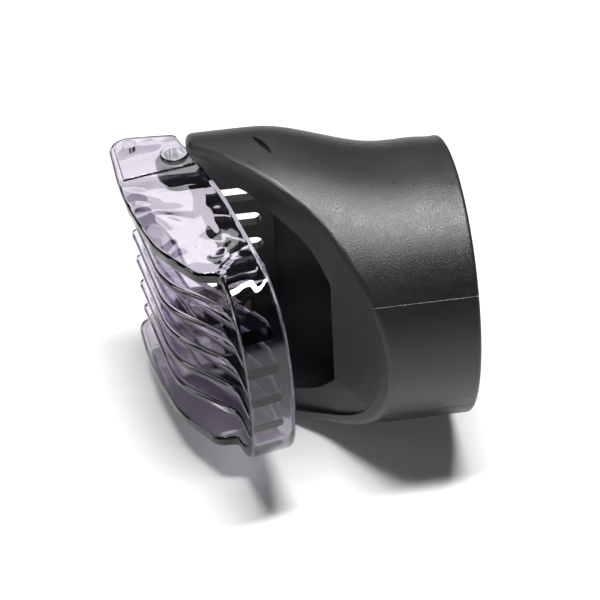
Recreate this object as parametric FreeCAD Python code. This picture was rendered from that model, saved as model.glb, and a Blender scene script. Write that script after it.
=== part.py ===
"""Clipper guard comb: a black collar that slides over a clipper's neck, with a clear hinged comb.

Frame: the collar's axis is X, with the rear opening at x = 0 and the comb towards -X.
Z is across the teeth. Only the near panel's joints, the sight mark and the comb's shorter
-Z cheek aren't symmetric about z = 0.
The tooth tips point to +Y and the comb's closed rim is on the -Y side. Millimetres.
"""
import FreeCAD, Part
import math
import os
from FreeCAD import Vector

# Collar
REAR_RADIUS = 20.5          # outside of the rear ring
FLARE = 4.1                 # how far the front swells past the rear ring
FLARE_START_X = -8.0
FLARE_END_X = -27.0
SHELL_WALL = 1.6
FRAME_WALL = 1.25           # in front of the bore; the liner is thicker round the bore
BORE_RADIUS = 17.4          # slides over the clipper's neck
BORE_LENGTH = 10.0
REAR_EDGE_ROUND = 0.5
FRONT_EDGE_ROUND = 1.2
FIT_GAP = 0.12              # between the outer skin and the frame it is bonded over
STATION_SPACING = 3.5       # between the outlines that the collar's outside is lofted through
LOFT_LENGTH = 42.0

# Near panel, let into the outer skin between two planes through the axis
PANEL_TOP_ANGLE = 31.0      # degrees above the mid-plane
PANEL_BOTTOM_ANGLE = -26.0
JOINT_GROOVE = 0.12

# Slanted front of the collar, in the XY plane
SLANT = 0.66                # forward travel for each millimetre towards +Y, near side
SLANT_X_AT_AXIS = -26.1
STEEP_START_Y = -8.0
STEEP_SLANT = 1.07
FRONT_X = -36.5             # the two horns end here
BEZEL_RECESS = 0.35
BEZEL_THICKNESS = 2.2
CREASE_Z = 8.9              # the bezel folds back beyond this
CREASE_ANGLE = 3.0
FOLD_FAR_Y = 12.0           # and on the near side of this
HORN_TIP_FAR_Y = 12.2       # the horns' far edges slope from here
HORN_ROOT_FAR_Y = 20.5      # to here, at the finger roots

# Window in the bezel, in the YZ plane
WINDOW_NEAR_Y = -10.1
WINDOW_NEAR_HALF = 9.0
WINDOW_HALF_WIDTH = 18.6
WINDOW_WIDE_Y = 0.5         # full width from here
WINDOW_FAR_Y = 16.0
WINDOW_BULGE_Y = -6.2       # a corner of the spreading sides
WINDOW_BULGE_HALF = 14.3

# Flat row of fingers across the collar's far side
BAND_HALF_WIDTH = 15.2      # the outer skin is cut away inside this band
BAND_X = -26.3
PLATE_NEAR_Y = 15.4
PLATE_FAR_Y = 17.1
PLATE_HALF_WIDTH = 14.9
PLATE_REAR_X = -24.6
PLATE_FRONT_X = -34.3
FRAME_FRONT_X = -33.6       # the horns' liner ends here
SLOT_WIDTH = 2.4
SLOT_ROOT_X = -27.6
OUTER_SLOT_Z = 11.6
OUTER_SLOT_WIDTH = 1.4
OUTER_SLOT_ROOT_X = -30.2

# Comb, in its own frame
PITCH = 4.85
COMB_HALF_WIDTH = 16.46
COMB_WALL = 1.8
RIM_FRONT = 0.93
RIM_REAR = 7.3
RIM_NEAR_Y = -24.6          # the rim's sides would meet here in a point
RIM_CORNER_Y = -21.5
RIM_CORNER_RADIUS = 11.0
BEYOND_RIM_Y = -30.0
EDGE_ROUND = 0.5
TOOTH_FRONT = -5.39
TOOTH_ROOT_REAR = 5.6

# Corners of a cheek in side view, in the comb's own frame: x, y, radius
CHEEK_FRONT_BOW = (-7.0, 7.0, 60.0)
CHEEK_FRONT_NECK = (-5.6, -5.8, 14.0)
CHEEK_FRONT_END = (-2.0, -13.4, 2.5)
CHEEK_REAR_BOW = (6.75, 3.0, 60.0)
CHEEK_REAR_TIP = (4.4, 19.5, 1.2)
CHEEK_FRONT_TIP = (-5.45, 22.45, 3.0)
SHORT_REAR_TIP = (4.67, 17.6, 1.2)      # the -Z cheek ends sooner, just past the teeth
SHORT_FRONT_TIP = (-6.06, 16.4, 2.5)

# The cheek is a little thicker round the hinge
PAD_CORNERS = ((-5.7, 10.6, 0), (5.0, 10.6, 0), (3.95, 18.9, 1.0), (-4.9, 21.6, 2.5))
SHORT_PAD_CORNERS = ((-5.7, 10.6, 0), (5.0, 10.6, 0), (4.1, 16.9, 1.0), (-5.4, 15.8, 2.0))
PAD_HEIGHT = 0.25
TOOTH_TIP_Y = 13.8
TOOTH_THICKNESS = 1.5
TOOTH_ROUND = 0.6
TOOTH_ROWS = (-2, -1, 0, 1, 2)
COMB_ORIGIN = Vector(-38.0, 0, 0)
COMB_TILT = 12.5            # about Z, tips forward

# Hinge
PIN_RADIUS = 1.5
PIN_HEAD_RADIUS = 2.1
PIN_HEAD_THICKNESS = 0.35
PIN_HEAD_ROUND = 0.2
PIN_AT = Vector(2.75, 13.8, 0)       # comb frame
PIN_RUNNING_GAP = 0.05
TAB_INNER_Z = 12.3
TAB_OUTER_Z = 14.5
TAB_RADIUS = 2.9
TAB_ROOT_X = -29.0
TIP_HOLE_AT = Vector(-2.75, 19.1, 0) # comb frame
TIP_HOLE_RADIUS = 1.1

# Lens-shaped mark in the flared side
MARK_LENGTH = 5.8
MARK_WIDTH = 0.95
MARK_DEPTH = 0.7
MARK_X = -25.9
MARK_ROUND_ANGLE = 100.0    # where it sits round the collar, from the -Y side
MARK_TURN = 24.0            # how far it leans from straight across

FAR = 80.0                  # larger than the part
NODES = {}


def smooth(t):
    """Ease from 0 to 1."""
    t = max(0.0, min(1.0, t))
    return t * t * (3 - 2 * t)


def outer_radius(angle, x):
    """Outside of the collar, by angle in degrees from the -Y side."""
    angle = abs((angle + 180) % 360 - 180)
    swell = smooth((angle - 45) / 75) - 0.6 * smooth((angle - 120) / 60)
    along = smooth((FLARE_START_X - x) / (FLARE_START_X - FLARE_END_X))
    return REAR_RADIUS + FLARE * along * swell


def section(x, inset):
    """Closed outline of the collar at x, inset from its outside."""
    points = []
    for step in range(36):
        angle = 10.0 * step
        radius = outer_radius(angle, x) - inset
        turn = math.radians(angle)
        points.append(Vector(x, -radius * math.cos(turn), radius * math.sin(turn)))
    curve = Part.BSplineCurve()
    curve.interpolate(Points=points, PeriodicFlag=True)
    return Part.Wire(curve.toShape())


def collar_body(inset, rear_x=0.0):
    """Solid that fills the collar's outside, inset from it, from rear_x to beyond its front."""
    count = math.ceil((rear_x + LOFT_LENGTH) / STATION_SPACING)
    stations = [rear_x - STATION_SPACING * step for step in range(count + 1)]
    return Part.makeLoft([section(x, inset) for x in stations], True, False)


def xy(a, b):
    return Vector(a, b, 0)


def yz(a, b):
    return Vector(0, a, b)


def rounded_face(corners, plane):
    """Face inside a closed outline. Each corner is (a, b, radius), placed by xy or yz."""
    count = len(corners)
    arcs = []
    for index in range(count):
        before, here, after = (plane(*corners[k % count][:2]) for k in (index - 1, index, index + 1))
        radius = corners[index][2]
        back = (before - here).normalize()
        ahead = (after - here).normalize()
        half_angle = back.getAngle(ahead) / 2
        reach = radius / math.tan(half_angle)
        inward = (back + ahead).normalize()
        middle = here + inward * (radius / math.sin(half_angle) - radius)
        arcs.append((here + back * reach, middle, here + ahead * reach, radius))
    edges = []
    for index, (start, middle, end, radius) in enumerate(arcs):
        if radius > 0:
            edges.append(Part.Arc(start, middle, end).toShape())
        edges.append(Part.LineSegment(end, arcs[(index + 1) % count][0]).toShape())
    return Part.Face(Part.Wire(edges))


def prism_z(corners, low=-FAR, high=FAR):
    face = rounded_face(corners, xy)
    face.translate(Vector(0, 0, low))
    return face.extrude(Vector(0, 0, high - low))


def prism_x(corners, low=-FAR, high=FAR):
    face = rounded_face(corners, yz)
    face.translate(Vector(low, 0, 0))
    return face.extrude(Vector(high - low, 0, 0))


def box(x0, x1, y0, y1, z0, z1):
    return Part.makeBox(x1 - x0, y1 - y0, z1 - z0, Vector(x0, y0, z0))


def cylinder_x(radius, x0, x1):
    return Part.makeCylinder(radius, x1 - x0, Vector(x0, 0, 0), Vector(1, 0, 0))


def mirrored(shape):
    return shape.mirror(Vector(0, 0, 0), Vector(0, 0, 1))


def turned_about_axis(shape, angle):
    """Turn about the collar's axis, so that +angle moves the -Y side towards +Z."""
    shape = shape.copy()
    shape.rotate(Vector(0, 0, 0), Vector(1, 0, 0), -angle)
    return shape


def slant_x(y):
    return SLANT_X_AT_AXIS - SLANT * y


def front_cutter(recess):
    """Everything in front of the collar's slanted front, moved back by recess."""
    start_y = -30.0
    horn_y = STEEP_START_Y + (slant_x(STEEP_START_Y) - FRONT_X) / STEEP_SLANT
    return prism_z([
        (-FAR, start_y, 0),
        (slant_x(start_y) + recess, start_y, 0),
        (slant_x(STEEP_START_Y) + recess, STEEP_START_Y, 20.0),
        (FRONT_X + recess, horn_y, 3.5),
        (FRONT_X + recess, FAR, 0),
        (-FAR, FAR, 0),
    ])


def horn_trim():
    """Everything beyond the horns' sloping far edges."""
    return prism_z([
        (-FAR, HORN_TIP_FAR_Y, 0), (FRONT_X, HORN_TIP_FAR_Y, 0), (BAND_X, HORN_ROOT_FAR_Y, 0),
        (BAND_X, FAR, 0), (-FAR, FAR, 0),
    ])


def is_front_edge(edge):
    """True for an edge that runs round the collar's outside, where its front is cut."""
    middle = edge.valueAt((edge.FirstParameter + edge.LastParameter) / 2)
    angle = math.degrees(math.atan2(middle.z, -middle.y))
    gap = outer_radius(angle, middle.x) - math.hypot(middle.y, middle.z)
    bounds = edge.BoundBox
    tolerance, shortest = 0.1, 3.0
    return (bounds.XMax < FLARE_START_X + 2 and abs(gap) < tolerance
            and bounds.DiagonalLength > shortest and bounds.YLength > shortest / 6)


def skin():
    """The collar's outer skin in one piece, before the near panel is divided from it."""
    solid = collar_body(0)
    rear = [e for e in solid.Edges if e.BoundBox.XMin > -0.01]
    solid = solid.makeFillet(REAR_EDGE_ROUND, rear)
    solid = solid.cut(front_cutter(0))
    solid = solid.makeFillet(FRONT_EDGE_ROUND, [e for e in solid.Edges if is_front_edge(e)])
    solid = solid.cut(collar_body(SHELL_WALL, STATION_SPACING))
    solid = solid.cut(box(-FAR, BAND_X, 0, FAR, -BAND_HALF_WIDTH, BAND_HALF_WIDTH))
    solid = solid.cut(horn_trim())
    return solid.cut(sight_mark())


def sight_mark():
    """Lens-shaped hollow in the flare that shows where the neck's mark should sit."""
    half = MARK_LENGTH / 2
    mark = Part.makeSphere(half)
    matrix = FreeCAD.Matrix()
    matrix.scale(Vector(MARK_WIDTH / MARK_LENGTH, 1.0, MARK_DEPTH / half))
    mark = mark.transformGeometry(matrix)
    mark.rotate(Vector(0, 0, 0), Vector(0, 0, 1), MARK_TURN)
    mark.translate(Vector(MARK_X, 0, outer_radius(MARK_ROUND_ANGLE, MARK_X)))
    return turned_about_axis(mark, MARK_ROUND_ANGLE - 90)


def panel_wedge():
    """Space between the two joint planes, on the near side."""
    top = FAR * math.tan(math.radians(PANEL_TOP_ANGLE))
    bottom = FAR * math.tan(math.radians(PANEL_BOTTOM_ANGLE))
    return prism_x([(0, 0, 0), (-FAR, top, 0), (-FAR, bottom, 0)])


def joint_groove(angle):
    """Small V-groove along the outside of a joint."""
    size = JOINT_GROOVE * math.sqrt(2)
    bar = box(-FAR, FAR, -size / 2, size / 2, -size / 2, size / 2)
    bar.rotate(Vector(0, 0, 0), Vector(1, 0, 0), 45)
    bar.translate(Vector(0, -REAR_RADIUS, 0))
    return turned_about_axis(bar, angle)


def outer_skin():
    whole = skin()
    for angle in (PANEL_TOP_ANGLE, PANEL_BOTTOM_ANGLE):
        whole = whole.cut(joint_groove(angle))
    wedge = panel_wedge()
    NODES["collar_shell"] = whole.cut(wedge)
    NODES["near_panel"] = whole.common(wedge)


def window():
    """Opening in the bezel, along X: a flat near side, and sides that spread to the walls."""
    side = [
        (WINDOW_NEAR_Y, WINDOW_NEAR_HALF, 0), (WINDOW_BULGE_Y, WINDOW_BULGE_HALF, 12.0),
        (WINDOW_WIDE_Y, WINDOW_HALF_WIDTH, 4.0), (WINDOW_FAR_Y, WINDOW_HALF_WIDTH, 0),
    ]
    other_side = [(y, -z, radius) for y, z, radius in reversed(side)]
    return prism_x(side + other_side)


def bezel_side_cutter():
    """Folds the bezel back beyond the crease on the +Z side."""
    cutter = front_cutter(BEZEL_RECESS)
    hinge = Vector(slant_x(0) + BEZEL_RECESS, 0, CREASE_Z)
    cutter.rotate(hinge, Vector(-SLANT, 1, 0), CREASE_ANGLE)
    return cutter.common(box(-FAR, FAR, -FAR, FOLD_FAR_Y, CREASE_Z / 2, FAR))


def finger_plate():
    """Flat slotted plate, with a wall at its root that closes the gap up to the outer skin."""
    half = PLATE_HALF_WIDTH
    plate = box(PLATE_FRONT_X, BAND_X, PLATE_NEAR_Y, PLATE_FAR_Y, -half, half)
    wall = box(BAND_X, PLATE_REAR_X, PLATE_NEAR_Y, FAR, -half, half)
    plate = plate.fuse(wall.common(collar_body(SHELL_WALL + FIT_GAP + FRAME_WALL / 2)))
    for row in (-1.5, -0.5, 0.5, 1.5):
        plate = plate.cut(slot(row * PITCH, SLOT_WIDTH, SLOT_ROOT_X))
    for centre in (-OUTER_SLOT_Z, OUTER_SLOT_Z):
        plate = plate.cut(slot(centre, OUTER_SLOT_WIDTH, OUTER_SLOT_ROOT_X))
    return plate


def slot(centre, width, root_x):
    """Slot through the finger plate, open at the front, with a round root."""
    half = width / 2
    near, far = PLATE_NEAR_Y - 1, PLATE_FAR_Y + 1
    bar = box(-FAR, root_x, near, far, centre - half, centre + half)
    root = Part.makeCylinder(half, far - near, Vector(root_x, near, centre), Vector(0, 1, 0))
    return bar.fuse(root)


def place_comb(shape):
    """Take a shape from the comb's own frame to the part's frame."""
    shape = shape.copy()
    shape.rotate(Vector(0, 0, 0), Vector(0, 0, 1), COMB_TILT)
    shape.translate(COMB_ORIGIN)
    return shape


def place_point(point):
    turn = math.radians(COMB_TILT)
    x = point.x * math.cos(turn) - point.y * math.sin(turn)
    y = point.x * math.sin(turn) + point.y * math.cos(turn)
    return Vector(x, y, point.z) + COMB_ORIGIN


def hinge_tab():
    """Flat ear on the frame's +Z side that carries the pin inside the comb's cheek."""
    pin = place_point(PIN_AT)
    thickness = TAB_OUTER_Z - TAB_INNER_Z
    head = Part.makeCylinder(TAB_RADIUS, thickness, Vector(pin.x, pin.y, TAB_INNER_Z))
    arm = prism_z([
        (pin.x, pin.y - TAB_RADIUS, 0), (-33.0, 10.7, 3.0), (TAB_ROOT_X, 13.0, 1.0),
        (TAB_ROOT_X, 18.2, 1.0), (-34.0, 18.2, 3.0), (pin.x, pin.y + TAB_RADIUS, 0),
    ], TAB_INNER_Z, TAB_OUTER_Z)
    hole = Part.makeCylinder(PIN_RADIUS, FAR, Vector(pin.x, pin.y, 0))
    return head.fuse(arm).cut(hole)


def inner_frame():
    """Liner that slides on the clipper's neck, with the bezel, the fingers and the hinge tabs."""
    inset = SHELL_WALL + FIT_GAP
    body = collar_body(inset).cut(front_cutter(BEZEL_RECESS))
    for cutter in (bezel_side_cutter(), mirrored(bezel_side_cutter())):
        body = body.cut(cutter)
    bore = cylinder_x(BORE_RADIUS, -BORE_LENGTH - 1, 1.0)
    hollow = collar_body(inset + FRAME_WALL, -BORE_LENGTH).fuse(bore)
    body = body.cut(hollow.cut(front_cutter(BEZEL_RECESS + BEZEL_THICKNESS)))
    body = body.cut(window().common(hollow))
    zone_half = PLATE_HALF_WIDTH - 0.3
    body = body.cut(box(-FAR, BAND_X - FIT_GAP, 0, FAR, -zone_half, zone_half))
    body = body.cut(horn_trim())
    body = body.cut(box(-FAR, FRAME_FRONT_X, -FAR, FAR, -FAR, FAR))
    tab = hinge_tab()
    return body.fuse([finger_plate(), tab, mirrored(tab)])


def comb_profile(front_tip, rear_tip):
    """Side view of a cheek in the comb's own frame, with the rim at its near end."""
    front_end_y = CHEEK_FRONT_END[1]
    return prism_z([
        front_tip, CHEEK_FRONT_BOW, CHEEK_FRONT_NECK, CHEEK_FRONT_END,
        (RIM_FRONT, front_end_y - 0.9, 1.0), (RIM_FRONT, BEYOND_RIM_Y, 0),
        (RIM_REAR, BEYOND_RIM_Y, 0), CHEEK_REAR_BOW, rear_tip,
    ])


def comb_block(inset):
    """Blunt U-shaped block along X, open ended towards +Y, inset from the comb's outside."""
    half = COMB_HALF_WIDTH - inset
    corner = (RIM_CORNER_Y + inset, RIM_CORNER_RADIUS - inset)
    return prism_x([
        (FAR, -half, 0), (corner[0], -half, corner[1]), (RIM_NEAR_Y + inset, 0, 30.0),
        (corner[0], half, corner[1]), (FAR, half, 0),
    ], -RIM_REAR - 2, RIM_REAR + 2)


def comb_half(front_tip, rear_tip, low, high):
    """Everything of the rounded wall between z = low and high, with cheeks that end at these tips."""
    shell = comb_block(0).cut(comb_block(COMB_WALL))
    wall = shell.common(comb_profile(front_tip, rear_tip))
    wall = wall.makeFillet(EDGE_ROUND, wall.Edges)
    return wall.common(box(-FAR, FAR, -FAR, FAR, low, high))


def comb_wall():
    """The long +Z cheek, the short -Z cheek and the round rim that joins them."""
    upper = comb_half(CHEEK_FRONT_TIP, CHEEK_REAR_TIP, 0, FAR)
    lower = comb_half(SHORT_FRONT_TIP, SHORT_REAR_TIP, -FAR, 0)
    return upper.fuse(lower)


def hinge_pad(corners):
    """Slightly raised land round the hinge, placed for the +Z cheek."""
    low = COMB_HALF_WIDTH - COMB_WALL / 2
    pad = prism_z(corners, low, COMB_HALF_WIDTH + PAD_HEIGHT)
    rim = [e for e in pad.Edges if e.BoundBox.ZMin > COMB_HALF_WIDTH]
    return pad.makeFillet(PAD_HEIGHT * 0.8, rim)


def tooth(row):
    """One blade from its round tip, along the front, back into the rim."""
    z = row * PITCH
    half = TOOTH_THICKNESS / 2
    blade = prism_z([
        (TOOTH_FRONT, TOOTH_TIP_Y, 1.0), (TOOTH_FRONT, -5.5, 12.0), (RIM_FRONT + 0.3, -15.0, 5.0),
        (RIM_FRONT + 0.3, BEYOND_RIM_Y, 0), (TOOTH_ROOT_REAR, BEYOND_RIM_Y, 0),
        (TOOTH_ROOT_REAR, -18.5, 2.0), (-0.6, -6.0, 8.0), (-3.0, TOOTH_TIP_Y, 1.0),
    ], z - half, z + half)
    sides = [e for e in blade.Edges if e.BoundBox.ZLength < 0.01 and e.BoundBox.YMin > BEYOND_RIM_Y + 0.1]
    return blade.makeFillet(TOOTH_ROUND, sides).common(comb_block(COMB_WALL / 2))


def guide_comb():
    """The clear moulding: two cheeks, the blunt rim and the teeth."""
    pads = [hinge_pad(PAD_CORNERS), mirrored(hinge_pad(SHORT_PAD_CORNERS))]
    comb = comb_wall().fuse([tooth(row) for row in TOOTH_ROWS] + pads)
    comb = comb.cut(Part.makeCylinder(PIN_RADIUS + PIN_RUNNING_GAP, 2 * FAR, PIN_AT - Vector(0, 0, FAR)))
    comb = comb.cut(Part.makeCylinder(TIP_HOLE_RADIUS, FAR, TIP_HOLE_AT))
    return place_comb(comb)


def hinge_pin():
    """Headed pin, pressed into the frame's tab from outside the cheek."""
    pin = place_point(PIN_AT)
    outside = COMB_HALF_WIDTH + PAD_HEIGHT + PIN_RUNNING_GAP
    shank = Part.makeCylinder(PIN_RADIUS, outside - TAB_INNER_Z, Vector(pin.x, pin.y, TAB_INNER_Z))
    head = Part.makeCylinder(PIN_HEAD_RADIUS, PIN_HEAD_THICKNESS, Vector(pin.x, pin.y, outside))
    rim = [e for e in head.Edges if e.BoundBox.ZMin > outside + PIN_HEAD_THICKNESS - 0.01]
    return shank.fuse(head.makeFillet(PIN_HEAD_ROUND, rim))


def main():
    outer_skin()
    NODES["inner_frame"] = inner_frame()
    NODES["guide_comb"] = guide_comb()
    NODES["upper_hinge_pin"] = hinge_pin()
    NODES["lower_hinge_pin"] = mirrored(hinge_pin())
    os.makedirs("parts", exist_ok=True)
    for name, shape in NODES.items():
        print(name, shape.ShapeType, "solids", len(shape.Solids), "valid", shape.isValid(),
              "volume", round(shape.Volume, 1))
        shape.exportStep(f"parts/{name}.step")


main()
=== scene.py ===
"""Looks for the clipper guard comb: a grained black collar and a clear lilac comb on a pale floor."""
import math

import bpy
from mathutils import Matrix, Vector


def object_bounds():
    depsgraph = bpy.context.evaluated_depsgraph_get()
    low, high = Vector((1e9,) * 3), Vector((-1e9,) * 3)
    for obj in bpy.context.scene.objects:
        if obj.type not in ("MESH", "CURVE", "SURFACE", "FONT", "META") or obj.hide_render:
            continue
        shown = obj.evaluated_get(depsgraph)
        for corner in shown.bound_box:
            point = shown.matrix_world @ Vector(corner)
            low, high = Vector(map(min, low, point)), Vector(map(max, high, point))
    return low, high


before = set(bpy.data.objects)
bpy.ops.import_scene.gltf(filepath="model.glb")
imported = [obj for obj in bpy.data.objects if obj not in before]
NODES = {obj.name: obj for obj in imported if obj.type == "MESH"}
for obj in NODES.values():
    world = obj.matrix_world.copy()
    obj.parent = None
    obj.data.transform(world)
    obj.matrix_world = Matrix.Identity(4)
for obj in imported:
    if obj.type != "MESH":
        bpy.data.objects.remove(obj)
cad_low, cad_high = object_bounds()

MM = 0.001

# Looks
PLASTIC_IOR = 1.5
CLEAR_IOR = 1.53
SHELL_GRAIN = 0.16 * MM         # size of the moulded grain, and its depth
SHELL_GRAIN_DEPTH = 0.06 * MM
FRAME_GRAIN = 0.2 * MM
FRAME_GRAIN_DEPTH = 0.004 * MM
COMB_WAVES = 0.11 * MM          # depth of the waviness in the clear moulding
PIN_WAVES = 0.03 * MM
COMB_DENSITY = 480.0            # how strongly the clear plastic takes up light, per metre
PIN_DENSITY = 200.0
ABSORPTION_TINT = (0.33, 0.26, 0.39, 1)
EDGE_WEAR_RADIUS = 0.25 * MM

# Camera, in millimetres and degrees
CAMERA_AIM = (-22.7, -2.0, 0.0)
CAMERA_DISTANCE = 203.1
CAMERA_AZIMUTH = -4.7
CAMERA_ELEVATION = 40.87
CAMERA_ROLL = -3.73
CAMERA_LENS = 83.9


# ---------------------------------------------------------------- materials
def new_material(name):
    """An empty node material with its tree, its Principled shader and its output."""
    material = bpy.data.materials.new(name)
    material.use_nodes = True
    tree = material.node_tree
    return material, tree, tree.nodes["Principled BSDF"], tree.nodes["Material Output"]


def add(tree, kind, **inputs):
    """A node whose named inputs are set; underscores stand for spaces."""
    node = tree.nodes.new(kind)
    for key, value in inputs.items():
        node.inputs[key.replace("_", " ")].default_value = value
    return node


def object_coordinates(tree):
    return tree.nodes.new("ShaderNodeTexCoord").outputs["Object"]


def noise(tree, coordinates, size, detail=2.0, roughness=0.5, distortion=0.0):
    """Noise whose features are about size metres across."""
    node = add(tree, "ShaderNodeTexNoise", Scale=1.0 / size, Detail=detail, Roughness=roughness,
               Distortion=distortion)
    tree.links.new(coordinates, node.inputs["Vector"])
    return node.outputs["Fac"]


def remap(tree, value, low, high, from_low=0.3, from_high=0.7):
    """Spread value, which mostly lies from from_low to from_high, over low to high."""
    node = add(tree, "ShaderNodeMapRange")
    node.inputs["From Min"].default_value = from_low
    node.inputs["From Max"].default_value = from_high
    node.inputs["To Min"].default_value = low
    node.inputs["To Max"].default_value = high
    tree.links.new(value, node.inputs["Value"])
    return node.outputs["Result"]


def multiply(tree, first, second):
    """The product of two sockets' values."""
    node = tree.nodes.new("ShaderNodeMath")
    node.operation = "MULTIPLY"
    tree.links.new(first, node.inputs[0])
    tree.links.new(second, node.inputs[1])
    return node.outputs[0]


def mix_colour(tree, factor, first, second):
    """Blend of two colours, each a tuple or a socket."""
    node = tree.nodes.new("ShaderNodeMix")
    node.data_type = "RGBA"
    for index, colour in ((6, first), (7, second)):     # the colour sockets A and B
        if isinstance(colour, tuple):
            node.inputs[index].default_value = colour
        else:
            tree.links.new(colour, node.inputs[index])
    tree.links.new(factor, node.inputs[0])
    return node.outputs[2]


def bump(tree, height, depth, strength=1.0, below=None):
    """Bump whose full height is depth metres."""
    node = add(tree, "ShaderNodeBump", Strength=strength, Distance=depth)
    tree.links.new(height, node.inputs["Height"])
    if below is not None:
        tree.links.new(below, node.inputs["Normal"])
    return node.outputs["Normal"]


def edge_mask(tree, radius):
    """1 at sharp edges and 0 on open surfaces, from how far a rounded normal differs."""
    bevel = add(tree, "ShaderNodeBevel", Radius=radius)
    bevel.samples = 4
    geometry = tree.nodes.new("ShaderNodeNewGeometry")
    dot = tree.nodes.new("ShaderNodeVectorMath")
    dot.operation = "DOT_PRODUCT"
    tree.links.new(bevel.outputs["Normal"], dot.inputs[0])
    tree.links.new(geometry.outputs["Normal"], dot.inputs[1])
    return remap(tree, dot.outputs["Value"], 1.0, 0.0, 0.82, 0.995)


def black_plastic(name, dark, light, grain, grain_depth, rough):
    """Moulded black plastic: a fine grain, faint handling marks and edges worn to a satin."""
    material, tree, shader, _ = new_material(name)
    where = object_coordinates(tree)
    patches = noise(tree, where, 9 * MM, 3.0)
    colour = mix_colour(tree, remap(tree, patches, 0, 1), dark, light)
    wear = edge_mask(tree, EDGE_WEAR_RADIUS)
    scuffs = noise(tree, where, 1.3 * MM, 4.0, 0.7)
    worn = multiply(tree, wear, remap(tree, scuffs, 0.15, 0.6))
    worn_brightness = 2.2
    edge_colour = tuple(worn_brightness * c for c in light[:3]) + (1.0,)
    colour = mix_colour(tree, worn, colour, edge_colour)
    tree.links.new(colour, shader.inputs["Base Color"])
    fine = noise(tree, where, grain, 2.0, 0.6)
    tree.links.new(remap(tree, scuffs, rough - 0.05, rough + 0.07), shader.inputs["Roughness"])
    wide = bump(tree, noise(tree, where, 14 * MM, 1.0), 0.02 * MM)
    tree.links.new(bump(tree, fine, grain_depth, 1.0, wide), shader.inputs["Normal"])
    shader.inputs["IOR"].default_value = PLASTIC_IOR
    return material


def cheek_mask(tree, where):
    """1 on the +Z cheek below its flat hinge end, and 0 elsewhere."""
    split = tree.nodes.new("ShaderNodeSeparateXYZ")
    tree.links.new(where, split.inputs[0])
    outside = remap(tree, split.outputs["Z"], 0.0, 1.0, 13.5 * MM, 14.5 * MM)
    below_hinge = remap(tree, split.outputs["Y"], 1.0, 0.0, 6.5 * MM, 9.5 * MM)
    return multiply(tree, outside, below_hinge)


def clear_plastic(name, density, waviness):
    """Polished clear plastic: lilac by depth, with a wavy surface and fine smears."""
    material, tree, shader, output = new_material(name)
    where = object_coordinates(tree)
    shader.inputs["Transmission Weight"].default_value = 1.0
    shader.inputs["IOR"].default_value = CLEAR_IOR
    tint = mix_colour(tree, remap(tree, noise(tree, where, 12 * MM), 0, 1),
                      (0.96, 0.95, 0.975, 1), (0.93, 0.915, 0.955, 1))
    tree.links.new(tint, shader.inputs["Base Color"])
    smears = noise(tree, where, 3 * MM, 3.0)
    tree.links.new(remap(tree, smears, 0.01, 0.05), shader.inputs["Roughness"])
    waves = bump(tree, noise(tree, where, 6 * MM, 1.0), waviness)
    swirls = noise(tree, where, 8 * MM, 0.0, 0.5, distortion=1.6)
    on_cheek = multiply(tree, swirls, cheek_mask(tree, where))
    tree.links.new(bump(tree, on_cheek, 4 * waviness, 1.0, waves), shader.inputs["Normal"])
    depth = add(tree, "ShaderNodeVolumeAbsorption", Density=density)
    depth.inputs["Color"].default_value = ABSORPTION_TINT
    tree.links.new(depth.outputs["Volume"], output.inputs["Volume"])
    return material


def floor_material():
    """Plain pale floor. Far from the part, where the lamps don't reach, the camera sees it glow."""
    material, tree, shader, _ = new_material("pale_floor")
    where = object_coordinates(tree)
    colour = mix_colour(tree, remap(tree, noise(tree, where, 60 * MM), 0, 1),
                        (0.74, 0.74, 0.74, 1), (0.77, 0.77, 0.77, 1))
    tree.links.new(colour, shader.inputs["Base Color"])
    shader.inputs["Roughness"].default_value = 0.6
    tree.links.new(colour, shader.inputs["Emission Color"])
    length = tree.nodes.new("ShaderNodeVectorMath")
    length.operation = "LENGTH"
    tree.links.new(where, length.inputs[0])
    least, most = 0.05, 1.2
    far = remap(tree, length.outputs["Value"], least, most, 0.12, 0.5)
    seen = tree.nodes.new("ShaderNodeLightPath").outputs["Is Camera Ray"]
    glow = remap(tree, multiply(tree, seen, far), least, most, least, most)
    tree.links.new(glow, shader.inputs["Emission Strength"])
    return material


def dress(node, material):
    """Give a CAD piece its only material."""
    NODES[node].data.materials.clear()
    NODES[node].data.materials.append(material)


# ---------------------------------------------------------------- the stage
def make_floor():
    """A flat square floor just under the part, size metres to each side of the origin."""
    size = 1.6
    gap = 0.1 * MM
    mesh = bpy.data.meshes.new("floor")
    z = cad_low.z - gap
    corners = [(-size, -size, z), (size, -size, z), (size, size, z), (-size, size, z)]
    mesh.from_pydata(corners, [], [(0, 1, 2, 3)])
    floor = bpy.data.objects.new("floor", mesh)
    bpy.context.scene.collection.objects.link(floor)
    floor.data.materials.append(floor_material())


def make_light(name, place, aim, size, power):
    """A soft rectangular lamp. Place, aim and size are in millimetres."""
    lamp = bpy.data.lights.new(name, "AREA")
    lamp.shape = "RECTANGLE"
    lamp.size, lamp.size_y = size[0] * MM, size[1] * MM
    lamp.energy = power
    item = bpy.data.objects.new(name, lamp)
    bpy.context.scene.collection.objects.link(item)
    item.location = Vector(place) * MM
    item.rotation_mode = "QUATERNION"
    item.rotation_quaternion = (Vector(aim) - Vector(place)).to_track_quat("-Z", "Y")


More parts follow.
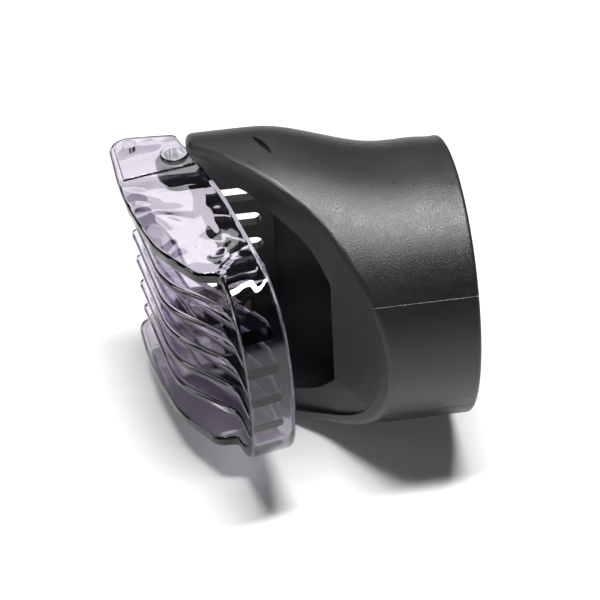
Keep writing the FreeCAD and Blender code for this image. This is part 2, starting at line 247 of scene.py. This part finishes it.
def make_world():
    """A dark studio round the lamps; the camera alone sees a white backdrop."""
    world = bpy.data.worlds.new("studio")
    bpy.context.scene.world = world
    world.use_nodes = True
    tree = world.node_tree
    room = tree.nodes["Background"]
    room.inputs["Color"].default_value = (0.92, 0.95, 1.0, 1)
    room.inputs["Strength"].default_value = 0.03
    backdrop = add(tree, "ShaderNodeBackground", Strength=1.0)
    seen = tree.nodes.new("ShaderNodeLightPath")
    choose = tree.nodes.new("ShaderNodeMixShader")
    tree.links.new(seen.outputs["Is Camera Ray"], choose.inputs["Fac"])
    tree.links.new(room.outputs["Background"], choose.inputs[1])
    tree.links.new(backdrop.outputs["Background"], choose.inputs[2])
    tree.links.new(choose.outputs["Shader"], tree.nodes["World Output"].inputs["Surface"])


def make_camera():
    """Close, looking down on the near side, with the comb a little nearer than the collar."""
    azimuth, elevation = math.radians(CAMERA_AZIMUTH), math.radians(CAMERA_ELEVATION)
    data = bpy.data.cameras.new("camera")
    data.sensor_width = 36.0
    data.lens = CAMERA_LENS
    data.clip_start = 0.01
    camera = bpy.data.objects.new("camera", data)
    bpy.context.scene.collection.objects.link(camera)
    back = Vector((math.sin(azimuth) * math.cos(elevation),
                   -math.cos(azimuth) * math.cos(elevation), math.sin(elevation)))
    roll = Matrix.Rotation(math.radians(CAMERA_ROLL), 4, "Z")
    turn = (-back).to_track_quat("-Z", "Y").to_matrix().to_4x4() @ roll
    place = (Vector(CAMERA_AIM) + back * CAMERA_DISTANCE) * MM
    camera.matrix_world = Matrix.Translation(place) @ turn
    bpy.context.scene.camera = camera


def main():
    shell = black_plastic("grained_black", (0.007, 0.0078, 0.0075, 1), (0.011, 0.012, 0.0117, 1),
                          SHELL_GRAIN, SHELL_GRAIN_DEPTH, 0.32)
    satin = black_plastic("satin_black", (0.009, 0.0095, 0.0105, 1), (0.013, 0.0135, 0.0145, 1),
                          FRAME_GRAIN, FRAME_GRAIN_DEPTH, 0.42)
    dress("collar_shell", shell)
    dress("near_panel", shell)
    dress("inner_frame", satin)
    dress("guide_comb", clear_plastic("clear_lilac_plastic", COMB_DENSITY, COMB_WAVES))
    pin = clear_plastic("clear_pin_plastic", PIN_DENSITY, PIN_WAVES)
    dress("upper_hinge_pin", pin)
    dress("lower_hinge_pin", pin)
    make_floor()
    make_world()
    make_light("top_softbox", (5, -22, 360), (0, 0, 0), (190, 44), 2.6)
    make_light("back_panel", (-60, 330, 260), (-20, 0, 0), (420, 60), 0.3)
    make_light("left_panel", (-330, -40, 120), (-30, 0, 0), (80, 240), 0.22)
    make_camera()
    cycles = bpy.context.scene.cycles
    cycles.max_bounces = 24
    cycles.transmission_bounces = 20
    cycles.transparent_max_bounces = 16
    bpy.context.scene.view_settings.view_transform = "Standard"


main()
